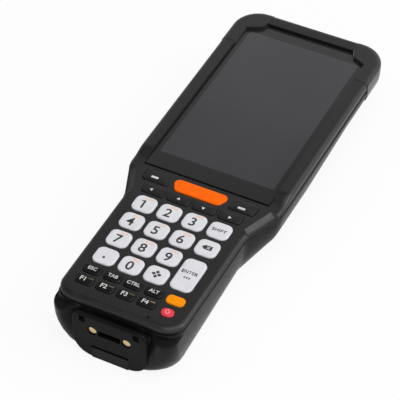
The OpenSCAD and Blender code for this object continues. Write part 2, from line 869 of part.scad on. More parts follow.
module battery_cover() {
    color([0.16, 0.16, 0.16]) {
        difference() {
            intersection() {
                rear_form();
                union() {
                    block([-cover_half, cover_half], [cover_low, cover_high], [-cut, cover_rim]);
                    block([-tab_half, tab_half], [y_tail - cut, cover_low + cut], [-cut, tab_z]);
                    block(
                        [-catch_half - 1, catch_half + 1],
                        [cover_high - 3.3, cover_high],
                        [0, catch_top]
                    );
                }
            }
            block(
                [-pack_w / 2 - 1, pack_w / 2 + 1],
                [pack_low - 0.8, pack_high + pack_gap],
                [cover_t, cover_rim + cut]
            );
            block(
                [-catch_half, catch_half],
                [cover_high - 2.2, cover_high + cut],
                [latch_skin, latch_top + seat]
            );
        }
        block([0.5 - tab_half, tab_half - 0.5], [hook_y, hook_y + 1.5], [tab_z - 0.5, tab_z + 1.6]);
        block([-tab_half, tab_half], [y_tail, bezel_back + 0.3], [bezel_low, tab_z]);
    }
}

module battery_latch() {
    color([0.12, 0.12, 0.12]) {
        difference() {
            block([-8, 8], [latch_low, latch_low + latch_l], [0.6, latch_skin + 0.3]);
            for (i = [0:3]) translate([0, latch_low + 1.8 + 1.8 * i, 0])
                block([-6, 6], [0, 0.9], [-cut, 1.1]);
        }
        block([-10, 10], [latch_low - 2, latch_plate], [latch_skin + 0.2, latch_top]);
        block(
            [0.5 - catch_half, catch_half - 0.5],
            [cover_high - 1.3, latch_low - 1],
            [latch_skin + 0.2, latch_top]
        );
    }
}

// A bowed leaf spring between the latch and the end of its room
module latch_spring() {
    span = 9;
    bow = latch_end - latch_plate - 0.2;
    r = (span * span + bow * bow) / (2 * bow);
    color("silver") intersection() {
        translate([0, latch_plate + 0.1 + r, latch_skin + 0.3]) difference() {
            cylinder(h = 1.6, r = r);
            translate([0, 0, -cut]) cylinder(h = 1.6 + 2 * cut, r = r - 0.3);
        }
        block([-10, 10], [latch_plate, latch_end - 0.1], [0, face_z]);
    }
}

// ---- Dock end ----

function bezel_outline(inset) =
    let (x = bezel_half - inset, low = [x, bezel_low + inset], high = [x, bezel_high - inset])
    full(concat(
        round_corner([0, low.y], low, high, 8.5 - inset, 8),
        round_corner(low, high, [0, high.y], 4 - inset, 5)
    ));

module dock_bezel() {
    function ring(inset, out) = [for (p = bezel_outline(inset)) [p.x, p.y, out]];
    color([0.19, 0.19, 0.19]) difference() {
        rotate([90, 0, 0]) loft([
            ring(0, -bezel_back),
            ring(0, -y_tail - 0.7),
            ring(0.1, -y_tail - 0.35),
            ring(0.35, -y_tail - 0.1),
            ring(0.7, -y_tail)
        ]);
        block([-bezel_half, bezel_half], [y_tail + guard_t, y_lip], [core_top + 0.5, face_z]);
        block([-tab_half - tab_gap, tab_half + tab_gap], [y_tail - cut, y_lip], [0, slit_high]);
        block(port_x, [y_tail - cut, y_lip], port_z);
        for (s = [-1, 1]) {
            translate([s * contact_x, y_tail - cut, contact_z]) rotate([-90, 0, 0])
                cylinder(h = bezel_t + 2 * cut, r = contact_r + 0.15);
            block(
                [s * peg_x - 1.35, s * peg_x + 1.35],
                [y_tail - cut, y_lip],
                [peg_z - 1.6, peg_z + 1.6]
            );
        }
    }
}

module dock_contacts() {
    color("gold") for (s = [-1, 1]) translate([s * contact_x, 0, contact_z]) rotate([-90, 0, 0]) {
        translate([0, 0, y_tail + 0.3]) cylinder(h = bezel_t - 0.3, r = contact_r);
        translate([0, 0, bezel_back - 0.1]) cylinder(h = 5.5, r = 1);
    }
}

module dock_connector() {
    color([0.1, 0.1, 0.1]) {
        difference() {
            block(port_x - [-0.1, 0.1], [y_tail + 0.7, y_lip + 3.6], port_z - [-0.1, 0.1]);
            block(port_x - [-0.5, 0.5], [y_tail, y_lip + 1.6], port_z - [-0.4, 0.4]);
        }
        block(port_x - [-1.1, 1.1], [y_tail + 1.4, y_lip + 1.7], [contact_z - 0.35, contact_z + 0.35]);
    }
}

// ---- Side controls ----

module side_trigger() {
    color([0.12, 0.12, 0.12])
        side_control(trigger_y, trigger_l, half_head - 0.5 + side_out, side_pocket - 0.1, [0], 0.7);
}

module volume_rocker() {
    color([0.12, 0.12, 0.12])
        side_control(rocker_y, rocker_l, half_head - 0.6 + side_out, side_pocket - 0.65, [-8, 8], 0.45);
}

module side_control(y, l, outer, inner, stems, stem_gap) {
    flange_t = 0.7;
    translate([-outer, y, side_z]) rotate([0, 90, 0]) linear_extrude(outer - inner + 0.1)
        polygon(rounded(rect(side_h, l), 1.2));
    block(
        [-inner, flange_t - inner],
        [y - l / 2 - 1, y + l / 2 + 1],
        [side_z - side_h / 2 - 0.3, side_z + side_h / 2 + 0.3]
    );
    for (s = stems)
        block(
            [flange_t - inner - 0.1, -board_half - stem_gap],
            [y + s - 1.5, y + s + 1.5],
            [board_z + 1.3, side_z + side_h / 2 + 0.2]
        );
}

// ---- Head end and back ----

module speaker() {
    color("dimgray") translate([speaker.x, speaker.y, head_floor])
        block([-8, 8], [-5.5, 5.5], [0, 3.2]);
}

module camera_module() {
    color([0.08, 0.08, 0.1]) {
        disc(camera.x, camera.y, [back_z + 0.1, back_z + 1.1], 5);
        disc(camera.x, camera.y, [back_z + 1, head_floor + 0.1], 4.2);
        translate([camera.x, camera.y, head_floor]) block([-4.5, 4.5], [-4.5, 4.5], [0, 4.5]);
    }
    color("ivory") disc(flash.x, flash.y, [back_z + 0.1, head_floor], 1.6);
}

module housing_screws() {
    color("silver") screw_pattern() translate([0, 0, -screw_under]) difference() {
        union() {
            translate([0, 0, -0.5]) cylinder(h = screw_l + 0.5, r = screw_r);
            translate([0, 0, -screw_head_t]) cylinder(h = screw_head_t, r = screw_head_r);
        }
        translate([0, 0, -screw_head_t - cut]) cylinder(h = cut + 0.9, r = 1.1, $fn = 6);
    }
}

front_housing();
rear_housing();
corner_bumper_left();
corner_bumper_right();
head_cap();
scan_window();
scan_engine();
display_glass();
display_gasket();
display_module();
inner_frame();
keypad_mat();
key_board();
main_board();
housing_seal();
battery_pack();
battery_cover();
battery_latch();
latch_spring();
battery_contacts();
dock_bezel();
dock_contacts();
dock_connector();
side_trigger();
volume_rocker();
speaker();
camera_module();
housing_screws();
for (k = KEYS) key(k);
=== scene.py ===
"""Studio picture of a rugged handheld data terminal that lies face up on a white table."""

import json
import math

import bpy
import numpy as np
from mathutils import Matrix, Vector


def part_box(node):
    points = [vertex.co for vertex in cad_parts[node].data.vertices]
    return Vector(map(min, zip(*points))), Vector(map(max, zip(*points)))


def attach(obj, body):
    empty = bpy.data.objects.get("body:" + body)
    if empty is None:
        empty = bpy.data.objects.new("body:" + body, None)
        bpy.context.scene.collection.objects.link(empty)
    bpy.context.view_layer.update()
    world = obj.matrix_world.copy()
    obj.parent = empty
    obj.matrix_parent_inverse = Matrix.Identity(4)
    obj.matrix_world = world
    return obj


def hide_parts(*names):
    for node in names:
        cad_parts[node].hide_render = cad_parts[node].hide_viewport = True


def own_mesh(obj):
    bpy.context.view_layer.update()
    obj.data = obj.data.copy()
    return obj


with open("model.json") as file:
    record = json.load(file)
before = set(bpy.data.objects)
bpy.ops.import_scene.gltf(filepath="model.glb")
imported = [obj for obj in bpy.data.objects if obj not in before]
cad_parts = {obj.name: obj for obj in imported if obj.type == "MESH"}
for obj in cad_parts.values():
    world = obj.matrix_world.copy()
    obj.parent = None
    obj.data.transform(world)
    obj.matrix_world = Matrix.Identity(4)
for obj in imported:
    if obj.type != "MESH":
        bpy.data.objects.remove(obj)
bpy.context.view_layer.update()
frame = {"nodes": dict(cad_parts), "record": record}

MM = 0.001
NODES = frame["nodes"]
BEHAVIOUR = frame["record"]["behaviour"]
NODE_BODY = {node: body for body, members in BEHAVIOUR["bodies"].items() for node in members}
NODE_SLOT = {part["node"]: part["material_slot"] for part in frame["record"]["subparts"]}


# ---- Shader trees ----


class Wiring:
    """Short ways to add the nodes of one shader tree and to link them."""

    def __init__(self, tree):
        self.tree = tree

    def feed(self, socket, value):
        """Links a socket to another node's output, or sets it to a number or a colour."""
        if isinstance(value, bpy.types.NodeSocket):
            self.tree.links.new(value, socket)
        elif isinstance(value, tuple):
            socket.default_value = (*value, 1)
        else:
            socket.default_value = value

    def node(self, kind, **inputs):
        """A new node. An underscore in an input's name stands for a space."""
        made = self.tree.nodes.new(kind)
        for name, value in inputs.items():
            self.feed(made.inputs[name.replace("_", " ")], value)
        return made

    def ramp(self, value, low, high, start=0.3, end=0.7):
        """A value between start and end becomes one between low and high."""
        ends = {"From_Min": start, "From_Max": end, "To_Min": low, "To_Max": high}
        return self.node("ShaderNodeMapRange", Value=value, **ends).outputs["Result"]

    def math(self, operation, first, second=None):
        """One arithmetic step on values or numbers."""
        made = self.tree.nodes.new("ShaderNodeMath")
        made.operation = operation
        self.feed(made.inputs[0], first)
        if second is not None:
            self.feed(made.inputs[1], second)
        return made.outputs[0]

    def axes(self, place):
        """The X, Y and Z parts of a place or a direction."""
        return self.node("ShaderNodeSeparateXYZ", Vector=place).outputs

    def rays(self, first, second=None):
        """1 for a ray of one or two named kinds, 0 for every other ray."""
        kinds = self.tree.nodes.new("ShaderNodeLightPath").outputs
        return self.math("MAXIMUM", kinds[first], kinds[second]) if second else kinds[first]


class Recipe(Wiring):
    """A new material. Its patterns read the coordinates of the piece itself."""

    def __init__(self, name, **sockets):
        self.material = bpy.data.materials.new(name)
        self.material.use_nodes = True
        super().__init__(self.material.node_tree)
        self.shader = self.tree.nodes["Principled BSDF"]
        for socket, value in sockets.items():
            self.shade(socket.replace("_", " "), value)
        self.place = self.tree.nodes.new("ShaderNodeTexCoord").outputs["Object"]

    def shade(self, socket, value):
        """Sets or links one socket of the shader."""
        self.feed(self.shader.inputs[socket], value)

    def noise(self, grain, detail=2.0):
        """Noise whose lumps are about `grain` metres across."""
        made = self.node("ShaderNodeTexNoise", Vector=self.place, Scale=1 / grain, Detail=detail)
        return made.outputs["Fac"]

    def blend(self, factor, first, second):
        """Two colours mixed by a factor."""
        made = self.tree.nodes.new("ShaderNodeMix")
        made.data_type = "RGBA"
        for socket, value in (("Factor", factor), ("A", first), ("B", second)):
            self.feed(made.inputs[socket], value)
        return made.outputs["Result"]

    def relief(self, grain, depth):
        """Fine lumps `depth` metres deep."""
        lumps = self.noise(grain, detail=1)
        bump = self.node("ShaderNodeBump", Strength=0.5, Distance=depth, Height=lumps)
        self.shade("Normal", bump.outputs["Normal"])


# ---- Materials ----

SHEEN_ROUGHNESS = 0.25
EDGE_BULGE = (0.52, 0.6)
EDGE_HIGHLIGHT_PALER = 2.2
EDGE_SMOOTHER = 0.15
PAINTED_SHADE_DARKER = 0.35
SKIRT_ROUGHNESS = 0.75

FACE_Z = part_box("display_glass")[1].z
SOFT_KEY_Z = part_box("soft_key_left")[1].z

PICTURE_WIDTH = 51.8 * MM
PICTURE_LENGTH = 86.4 * MM
PICTURE_START = 8.7 * MM
PICTURE_EDGE = 0.15 * MM


def times(colour, factor):
    return tuple(factor * part for part in colour)


def solid(grey, tint=(1, 1, 1)):
    return times(tint, grey)


def moulded_plastic(
    name, dark, light, roughness, specular=0.5, sheen=0.0, edge_highlight=0.0, painted_shade_height=None, fade=0.15 * MM
):
    """Spark-eroded plastic: a fine grain, faint cloudy wear and a slightly uneven gloss.

    `sheen` is a pale gleam at grazing angles. The edge highlight strength makes convex edges paler,
    a painted highlight, and smoother. Below the painted shade height the skin is darker, a painted
    shade, and rougher. The change begins and ends `fade` above and below it."""
    recipe = Recipe(name, Specular_IOR_Level=specular, Sheen_Weight=sheen, Sheen_Roughness=SHEEN_ROUGHNESS)
    colour = recipe.blend(recipe.ramp(recipe.noise(9 * MM, detail=3), 0, 1), dark, light)
    gloss = recipe.ramp(recipe.noise(2 * MM), roughness - 0.05, roughness + 0.05)
    # Painted highlight: the edge mask makes convex edges paler, and also smoother.
    if edge_highlight:
        bulge = recipe.tree.nodes.new("ShaderNodeNewGeometry").outputs["Pointiness"]
        edge = recipe.ramp(bulge, 0, edge_highlight, *EDGE_BULGE)
        colour = recipe.blend(edge, colour, times(light, EDGE_HIGHLIGHT_PALER))
        gloss = recipe.math("SUBTRACT", gloss, recipe.math("MULTIPLY", edge, EDGE_SMOOTHER))
    # Painted shade: below the given height the skin is darker, and also rougher.
    if painted_shade_height is not None:
        under = recipe.ramp(recipe.axes(recipe.place)["Z"], 1, 0, painted_shade_height - fade, painted_shade_height + fade)
        colour = recipe.blend(under, colour, times(dark, PAINTED_SHADE_DARKER))
        gloss = recipe.math("MAXIMUM", gloss, recipe.math("MULTIPLY", under, SKIRT_ROUGHNESS))
    recipe.shade("Base Color", colour)
    recipe.shade("Roughness", gloss)
    recipe.relief(0.25 * MM, 0.02 * MM)
    return recipe.material


def silicone(name, dark, light, roughness=0.5, specular=0.4, sheen=0.0):
    """Soft moulded rubber with a silky skin."""
    recipe = Recipe(name, Specular_IOR_Level=specular, Sheen_Weight=sheen, Sheen_Roughness=SHEEN_ROUGHNESS)
    cloud = recipe.ramp(recipe.noise(3 * MM, detail=3), 0, 1)
    recipe.shade("Base Color", recipe.blend(cloud, dark, light))
    recipe.shade("Roughness", recipe.ramp(recipe.noise(1.2 * MM), roughness - 0.04, roughness + 0.06))
    recipe.relief(0.15 * MM, 0.006 * MM)
    return recipe.material


def metal(name, colour, roughness):
    """Bare or plated metal with fine marks."""
    recipe = Recipe(name, Metallic=1.0)
    recipe.shade("Base Color", recipe.blend(recipe.noise(0.6 * MM), colour, times(colour, 0.85)))
    recipe.shade("Roughness", recipe.ramp(recipe.noise(0.2 * MM), roughness - 0.06, roughness + 0.08))
    recipe.relief(0.1 * MM, 0.004 * MM)
    return recipe.material


def display_material():
    """Black-backed glass. The picture area is a slightly paler rectangle, uneven and faintly blue."""
    recipe = Recipe("display_glass", Specular_IOR_Level=0.5, Roughness=0.12)
    place = recipe.axes(recipe.place)
    start_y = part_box("display_glass")[0].y + PICTURE_START

    def inside(value, centre, half):
        """1 within `half` of the centre, and 0 beyond a narrow edge."""
        away = recipe.math("ABSOLUTE", recipe.math("SUBTRACT", value, centre))
        return recipe.ramp(away, 1, 0, half - PICTURE_EDGE, half + PICTURE_EDGE)

    across = inside(place["X"], 0, PICTURE_WIDTH / 2)
    along = inside(place["Y"], start_y + PICTURE_LENGTH / 2, PICTURE_LENGTH / 2)
    border = recipe.math("SUBTRACT", 1.0, recipe.math("MULTIPLY", across, along))
    cloud = recipe.ramp(recipe.noise(30 * MM, detail=1), 0, 1)
    picture = recipe.blend(cloud, solid(0.041, (0.97, 0.96, 1.1)), solid(0.046, (0.98, 0.97, 1.08)))
    recipe.shade("Base Color", recipe.blend(border, picture, solid(0.017)))
    return recipe.material


def lens_material(name, tint):
    """Coated optical glass, nearly black face on. A tint that grows towards grazing angles is painted
    into its colour, a painted reflection.
    """
    recipe = Recipe(name, Roughness=0.05, Specular_IOR_Level=0.6)
    # Painted reflection: the base colour turns from black to the tint towards grazing angles.
    facing = recipe.node("ShaderNodeLayerWeight", Blend=0.35).outputs["Facing"]
    recipe.shade("Base Color", recipe.blend(facing, solid(0.003), tint))
    return recipe.material


# front_shell, rear_shell, latch and dock_bezel have an edge highlight strength, so their convex edges get a
# painted highlight. front_shell is also darker below a height just under its key face, a painted shade.
MATERIALS = {
    "front_shell": moulded_plastic(
        "front_shell",
        solid(0.007),
        solid(0.0095),
        0.42,
        sheen=0.2,
        edge_highlight=0.5,
        painted_shade_height=FACE_Z - 1.2 * MM,
        fade=0.6 * MM,
    ),
    "rear_shell": moulded_plastic(
        "rear_shell", solid(0.006), solid(0.008), 0.42, specular=0.12, sheen=0.35, edge_highlight=0.4
    ),
    "bumper": silicone("bumper", solid(0.013), solid(0.017), 0.47, specular=0.5, sheen=0.9),
    "head_cap": moulded_plastic("head_cap", solid(0.005), solid(0.007), 0.4),
    "scan_window": lens_material("scan_window", (0.05, 0.003, 0.006)),
    "engine": moulded_plastic("engine", solid(0.06), solid(0.08), 0.5),
    "display_glass": display_material(),
    "gasket": silicone("gasket", solid(0.008), solid(0.012), 0.7),
    "display_module": moulded_plastic("display_module", solid(0.06), solid(0.07), 0.3),
    "metal_frame": metal("metal_frame", (0.6, 0.6, 0.62), 0.35),
    "mat": silicone("mat", solid(0.02), solid(0.025), 0.6),
    "board": moulded_plastic("board", (0.01, 0.07, 0.03), (0.015, 0.1, 0.045), 0.35),
    "battery": moulded_plastic("battery", solid(0.03), solid(0.04), 0.4),
    "latch": moulded_plastic("latch", solid(0.009), solid(0.012), 0.5, edge_highlight=0.4),
    "spring": metal("spring", (0.6, 0.6, 0.6), 0.3),
    "contact": metal("contact", (0.76, 0.56, 0.31), 0.32),
    "dock_bezel": moulded_plastic("dock_bezel", solid(0.004), solid(0.006), 0.45, specular=0.08, edge_highlight=0.4),
    "connector": moulded_plastic("connector", solid(0.003), solid(0.005), 0.5, specular=0.1),
    "side_control": silicone("side_control", solid(0.008), solid(0.011), 0.5, specular=0.25),
    "speaker": moulded_plastic("speaker", solid(0.02), solid(0.03), 0.5),
    "camera": lens_material("camera", (0.012, 0.008, 0.03)),
    "screw": metal("screw", (0.1, 0.1, 0.105), 0.4),
    "key_white": silicone("key_white", (0.69, 0.69, 0.73), (0.74, 0.74, 0.78), 0.42, specular=0.5),
    "key_dark": silicone("key_dark", solid(0.004), solid(0.006), 0.4, specular=0.25),
    "key_orange": silicone("key_orange", (0.95, 0.13, 0.001), (1.0, 0.15, 0.001), 0.5, specular=0.12),
    "key_amber": silicone("key_amber", (0.9, 0.27, 0.001), (0.96, 0.31, 0.001), 0.5, specular=0.12),
    "key_red": silicone("key_red", (0.72, 0.04, 0.06), (0.8, 0.055, 0.075), 0.5, specular=0.25),
}
# The upper dark keys: a paler copy of the dark key colour, a painted light, and a painted shade on their
# caps below just under the top.
KEY_DARK_PAINTED_LIGHT_AND_SHADE = moulded_plastic(
    "key_matt", solid(0.009), solid(0.012), 0.45, specular=0.4, painted_shade_height=SOFT_KEY_Z - 0.22 * MM
)
PRINT_DARK = silicone("print_dark", solid(0.03), solid(0.04), 0.6)
PRINT_PALE = silicone("print_pale", solid(0.6), solid(0.7), 0.6)
PRINT_LIGHT = silicone("print_light", solid(0.6), solid(0.66), 0.6)
PRINT_ORANGE = silicone("print_orange", (0.9, 0.5, 0.3), (0.95, 0.56, 0.34), 0.6)
PRINT_GREEN = silicone("print_green", (0.12, 0.145, 0.06), (0.15, 0.175, 0.08), 0.6)
PRINT_ROSE = silicone("print_rose", (0.9, 0.3, 0.34), (0.95, 0.36, 0.4), 0.6)
PRINT_TAN = silicone("print_tan", (0.4, 0.24, 0.1), (0.46, 0.28, 0.12), 0.6)


def material_of(node):
    """The material of a node. The dark keys above the number keys are paler than the other dark keys,
    a painted light, slightly more matt, and darker low on their caps, a painted shade.
    """
    if node.startswith(("arrow_key", "soft_key")):
        return KEY_DARK_PAINTED_LIGHT_AND_SHADE
    return MATERIALS[NODE_SLOT[node]]


for node, solids in NODES.items():
    solids.data.materials.clear()
    solids.data.materials.append(material_of(node))


# ---- Mesh tools ----

WELD = 0.0005 * MM
SHELL_CREASE = 32
PRINT_CREASE = 35
TURNED_CREASE = 40
KEY_CREASE = 60


def add_piece(name, vertices, faces, material, body, crease):
    """Puts arrays of vertices and faces into the scene as a piece that rides on a body."""
    mesh = bpy.data.meshes.new(name)
    mesh.from_pydata(np.asarray(vertices, float).reshape(-1, 3).tolist(), [], faces)
    mesh.validate()
    mesh.shade_smooth()
    mesh.set_sharp_from_angle(angle=math.radians(crease))
    mesh.materials.append(material)
    piece = bpy.data.objects.new(name, mesh)
    bpy.context.scene.collection.objects.link(piece)
    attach(piece, body)
    return piece


def stand_in(node, ending, vertices, faces, crease):
    """A piece with the body and the material of a CAD node, whose place it takes."""
    body, slot = NODE_BODY[node], NODE_SLOT[node]
    piece = add_piece(node + ending, vertices, faces, material_of(node), body, crease)
    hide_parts(node)
    return piece


def welded(mesh):
    """The vertices of a mesh without their doubles, and the new number of each old vertex."""
    points = np.empty(len(mesh.vertices) * 3)
    mesh.vertices.foreach_get("co", points)
    points = points.reshape(-1, 3)
    cells = np.round(points / WELD).astype(np.int64)
    _, first, number = np.unique(cells, axis=0, return_index=True, return_inverse=True)
    return points[first], number.reshape(-1)


def smoothed(node):
    """A welded copy of a CAD node, whose facets share one smooth shade below the crease angle."""
    source = NODES[node].data
    points, number = welded(source)
    source.calc_loop_triangles()
    corners = np.empty(len(source.loop_triangles) * 3, np.int32)
    source.loop_triangles.foreach_get("vertices", corners)
    triangles = number[corners].reshape(-1, 3)
    whole = (triangles != np.roll(triangles, 1, axis=1)).all(axis=1)
    piece = stand_in(node, "_skin", points, triangles[whole].tolist(), SHELL_CREASE)
    piece.modifiers.new("even_shade", "WEIGHTED_NORMAL").keep_sharp = True
    return piece


def ring_faces(rings, count, close_ends=True):
    """Quads between neighbouring closed rings of `count` points, and one face over each end."""
    row = np.arange(rings - 1)[:, None] * count
    here = np.arange(count)[None, :]
    ahead = (here + 1) % count
    quads = np.stack([row + here, row + ahead, row + count + ahead, row + count + here], axis=-1)
    faces = quads.reshape(-1, 4).tolist()
    if close_ends:
        faces.append(list(range(count))[::-1])
        faces.append(list(range((rings - 1) * count, rings * count)))
    return faces


def at_height(outline, height):
    """A flat outline as a ring of points at one height."""
    return np.column_stack([outline, np.full(len(outline), height)])


def bar(width, height):
    """The corners of a rectangle about the origin."""
    x, y = width / 2, height / 2
    return [(-x, -y), (x, -y), (x, y), (-x, y)]


def rounded_outline(corners, radius, inset=0.0, steps=8):
    """The outline of a convex polygon whose corners are arcs, moved in by an inset.

    Each arc's centre lies on the corner's bisector at radius / sin(half angle). The arc runs between
    the directions of the two sides' outward normals, at the radius less the inset."""
    corners = np.asarray(corners, float)
    before = corners - np.roll(corners, 1, axis=0)
    after = np.roll(corners, -1, axis=0) - corners
    before /= np.linalg.norm(before, axis=1, keepdims=True)
    after /= np.linalg.norm(after, axis=1, keepdims=True)
    inward = after - before
    inward /= np.linalg.norm(inward, axis=1, keepdims=True)
    sine = np.abs(after[:, 0] * inward[:, 1] - after[:, 1] * inward[:, 0])
    centres = corners + inward * (radius / sine)[:, None]
    start = np.arctan2(-before[:, 0], before[:, 1])
    sweep = np.arctan2(before[:, 0] * after[:, 1] - before[:, 1] * after[:, 0], (before * after).sum(1))
    angle = start[:, None] + sweep[:, None] * np.linspace(0, 1, steps + 1)[None, :]
    directions = np.stack([np.cos(angle), np.sin(angle)], axis=-1)
    return (centres[:, None] + (radius - inset) * directions).reshape(-1, 2)


def turning(name, profile, centre, axis, material, segments):
    """A closed turned piece on the terminal's body. Its profile and its centre are in millimetres.

    Each ring has the radius of one profile point and lies at its height along the axis. `side` and
    `other` are two directions across the axis, mixed by the cosine and sine of the angle."""
    profile = np.array(profile) * MM
    axis = np.array(axis, float)
    side = np.cross(axis, [0.0, 0.0, 1.0] if abs(axis[2]) < 0.9 else [1.0, 0.0, 0.0])
    side /= np.linalg.norm(side)
    other = np.cross(axis, side)
    angle = np.linspace(0, 2 * math.pi, segments, endpoint=False)[:, None]
    spokes = np.cos(angle) * side + np.sin(angle) * other
    rings = np.array(centre) * MM + profile[:, None, :1] * spokes[None] + profile[:, None, 1:] * axis
    faces = ring_faces(len(profile), segments)
    return add_piece(name, rings, faces, material, "terminal", TURNED_CREASE)


# ---- Casing, dock end and camera ----

PAD_DOME = 0.3
PAD_DEPTH = 1.7
LENS_ROOM = 0.02
LAMP_RADIUS = 1.6


def box_mm(node):
    """The low and the high corner of a node's box, in millimetres."""
    return [np.array(corner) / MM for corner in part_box(node)]


def latch_strip():
    """The latch spring, as a smoothed copy of its CAD node with a mesh of its own."""
    spring = smoothed("latch_spring")
    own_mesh(spring)


def dock_pads():
    """Two gilt pads: a low dome whose height falls with the square of the radius, inside a bevelled rim."""
    (x0, y0, z0), (x1, _, z1) = box_mm("dock_contacts")
    radius = (z1 - z0) / 2
    profile = [(radius * t, -PAD_DOME * (1 - t * t)) for t in (0.02, 0.25, 0.5, 0.75, 0.86)]
    profile += [(radius * 0.9, 0.1), (radius * 0.98, 0.15), (radius, 0.3), (radius, PAD_DEPTH)]
    for side, x in (("left", x0 + radius), ("right", x1 - radius)):
        centre = (x, y0 + PAD_DOME, (z1 + z0) / 2)
        pad = turning(f"dock_pad_{side}", profile, centre, (0, 1, 0), MATERIALS["contact"], 32)
        if side == "left":
            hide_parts("dock_contacts")


def camera_eye():
    """The rear camera: a turned barrel with a trim ring, a domed lens in its mouth and a frosted lamp."""
    (x0, y0, z0), (x1, y1, z1) = box_mm("camera_module")
    radius = (x1 - x0) / 2
    mouth = 0.62 * radius
    neck = 0.84 * radius
    centre = ((x0 + x1) / 2, y1 - radius, z0)
    barrel = [(mouth, 0.9), (mouth, 0.3), (radius * 0.7, 0.05), (radius * 0.92, 0), (radius, 0.15)]
    barrel += [(radius, 1.0), (neck, 1.0), (neck, z1 - z0)]
    trim = turning("camera_trim", barrel, centre, (0, 0, 1), MATERIALS["latch"], 48)
    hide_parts("camera_module")
    lens_r = mouth - LENS_ROOM
    lens = [(lens_r * t, 0.25 + 0.35 * t * t) for t in (0.02, 0.3, 0.6, 0.85, 1.0)] + [(lens_r, 0.88)]
    turning("camera_lens", lens, centre, (0, 0, 1), MATERIALS["camera"], 48)
    lamp = [(LAMP_RADIUS * t, 0.1 * t * t) for t in (0.02, 0.4, 0.8, 1.0)] + [(LAMP_RADIUS, 1.4)]
    beside = (centre[0], y0 + LAMP_RADIUS, z0)
    turning("camera_lamp", lamp, beside, (0, 0, 1), PRINT_PALE, 24)


for node in (
    "front_housing",
    "rear_housing",
    "corner_bumper_left",
    "corner_bumper_right",
    "head_cap",
    "battery_cover",
    "battery_latch",
    "dock_bezel",
    "side_trigger",
    "volume_rocker",
):
    smoothed(node)
latch_strip()
dock_pads()
camera_eye()


# ---- Keys ----

KEY_FLANGE = 0.35 * MM
KEY_EDGE = 0.8 * MM
KEY_EDGE_DROP = 0.6 * KEY_EDGE
KEY_CROWN = 0.12 * MM
KEY_SIDE = 2.4 * MM

CORNER_RADIUS = {"key_white": 2.7 * MM, "key_dark": 1.4 * MM, "key_amber": 1.9 * MM, "key_red": 2.0 * MM}
SLANTED = {
    "scan_key": ([(-9.9, -3.35), (9.9, -3.35), (13.3, 3.35), (-13.3, 3.35)], 2.3),
    "soft_key_left": ([(-5.6, -3.1), (6.6, -3.1), (4.2, 3.1), (-5.9, 3.1)], 1.2),
    "soft_key_right": ([(-6.6, -3.1), (5.6, -3.1), (5.9, 3.1), (-4.2, 3.1)], 1.2),
}


def key_place(node):
    """The middle of a key's box, seen from above, and the height of its top."""
    low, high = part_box(node)
    return np.array([(low.x + high.x) / 2, (low.y + high.y) / 2]), high.z


def key_corners(node):
    """Corners of a key's cap about the key's own middle, and its corner radius."""
    if node in SLANTED:
        corners, radius = SLANTED[node]
        return np.array(corners) * MM, radius * MM
    low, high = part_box(node)
    corners = bar(high.x - low.x - 2 * KEY_FLANGE, high.y - low.y - 2 * KEY_FLANGE)
    return corners, CORNER_RADIUS[NODE_SLOT[node]]


def key_cap(node):
    """A moulded cap: straight sides, a rounded edge and a gently crowned top.

    The edge is a quarter ellipse in from the outline. Inside it each ring shrinks evenly to the middle,
    and the height rises by the crown times 1 - t squared, where t falls from 1 at the edge to 0."""
    corners, radius = key_corners(node)
    middle, top = key_place(node)
    turn = np.linspace(0, math.pi / 2, 7)
    insets = KEY_EDGE * (1 - np.cos(turn))
    heights = top - KEY_CROWN - KEY_EDGE_DROP * (1 - np.sin(turn))
    rings = [at_height(rounded_outline(corners, radius), top - KEY_SIDE)]
    rings += [at_height(rounded_outline(corners, radius, i), z) for i, z in zip(insets, heights)]
    rim = rings[-1][:, :2]
    rings += [at_height(rim * t, top - KEY_CROWN * t * t) for t in (0.85, 0.6, 0.3, 0.05)]
    rings = np.array(rings)
    rings[:, :, :2] += middle
    stand_in(node, "_cap", rings, ring_faces(len(rings), len(rim)), KEY_CREASE)


for node, slot in NODE_SLOT.items():
    if slot.startswith("key_"):
        key_cap(node)


# ---- Legends ----

PRINT_RISE = 0.02 * MM
PRINT_ROOT = 0.25 * MM
LETTER_HALF_DEPTH = 0.13 * MM
LETTER_WEIGHT = 0.015


def print_on(node, name, points, faces, material, offset):
    """A thin print on a key: it lies on the key's crown and rides with the key."""
    middle, top = key_place(node)
    points = points + np.append(middle + np.array(offset) * MM, top)
    add_piece(f"{node}_{name}", points, faces, material, NODE_BODY[node], PRINT_CREASE)


def flat_print(node, outline, material, offset=(0, 0), name="mark", rise=1, strip=False):
    """A closed slab of a flat outline, given in millimetres about the key's middle.

    A strip's outline runs up one side and back down the other, and its faces are cut across it."""
    outline = np.asarray(outline, float) * MM
    count = len(outline)
    faces = ring_faces(2, count, close_ends=not strip)
    if strip:
        near = np.arange(count // 2 - 1)
        far = count - 1 - near
        faces += (np.stack([near, near + 1, far - 1, far], axis=1) + count).tolist()
        faces += np.stack([far, far - 1, near + 1, near], axis=1).tolist()
    points = np.concatenate([at_height(outline, -PRINT_ROOT), at_height(outline, rise * PRINT_RISE)])
    print_on(node, name, points, faces, material, offset)


def text_print(node, text, size, material, offset=(0, 0), stretch=1.0):
    """Raised lettering, made a mesh from a text curve."""
    curve = bpy.data.curves.new("text", "FONT")
    curve.body = text
    curve.align_x = "CENTER"
    curve.align_y = "CENTER"
    curve.size = size * MM
    curve.offset = LETTER_WEIGHT * size * MM
    curve.extrude = LETTER_HALF_DEPTH
    holder = bpy.data.objects.new("text", curve)
    mesh = bpy.data.meshes.new_from_object(holder)
    points, number = welded(mesh)
    points = points * (stretch, 1, 1) + (0, 0, PRINT_RISE - LETTER_HALF_DEPTH)
    faces = [number[list(face.vertices)].tolist() for face in mesh.polygons]
    faces = [face for face in faces if len(set(face)) == len(face)]
    bpy.data.objects.remove(holder)
    print_on(node, "legend", points, faces, material, offset)


